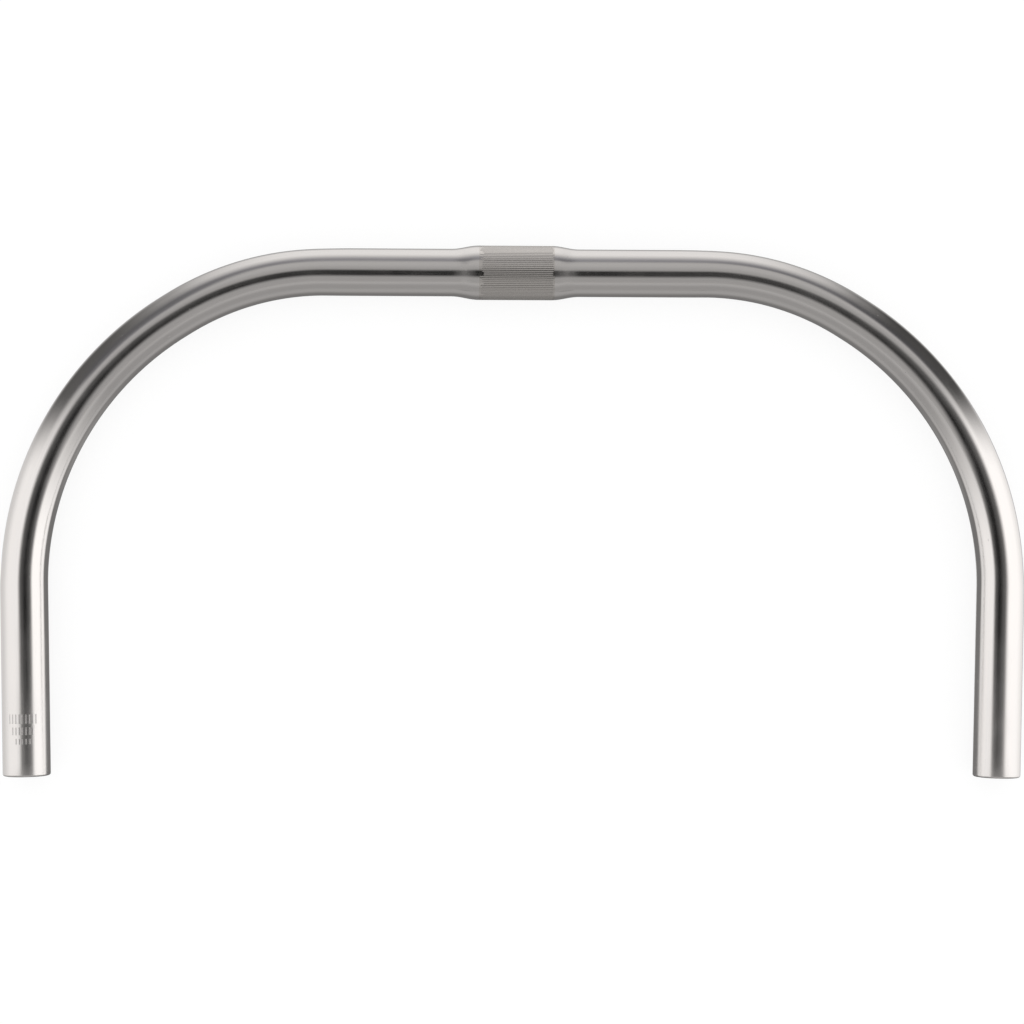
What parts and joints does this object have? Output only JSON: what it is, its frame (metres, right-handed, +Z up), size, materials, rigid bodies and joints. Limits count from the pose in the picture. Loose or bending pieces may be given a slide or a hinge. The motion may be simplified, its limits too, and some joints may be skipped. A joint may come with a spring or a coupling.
{
  "type": "bicycle handlebar",
  "caption": "Swept-back bicycle handlebar: one bent aluminium tube with a bulged, ridged clamp zone, two wide bends and straight grip ends pointing back.",
  "frame": {"origin": "middle of the clamp zone, on the tube's axis", "axes": "+X along the clamp zone to the rider's right, +Y forward, +Z up; both arms sweep back towards -Y and all bends lie in the XY plane"},
  "size_m": [0.48, 0.2488, 0.0254],
  "materials": {
    "polished_aluminium": "polished lengthwise, clear anodised, with a fine-ridged matt grey clamp zone",
    "liner_aluminium": "drawn tube, unpolished"
  },
  "bodies": {
    "root": {"handlebar_tube": "polished_aluminium", "centre_liner": "liner_aluminium"}
  },
  "joints": []
}
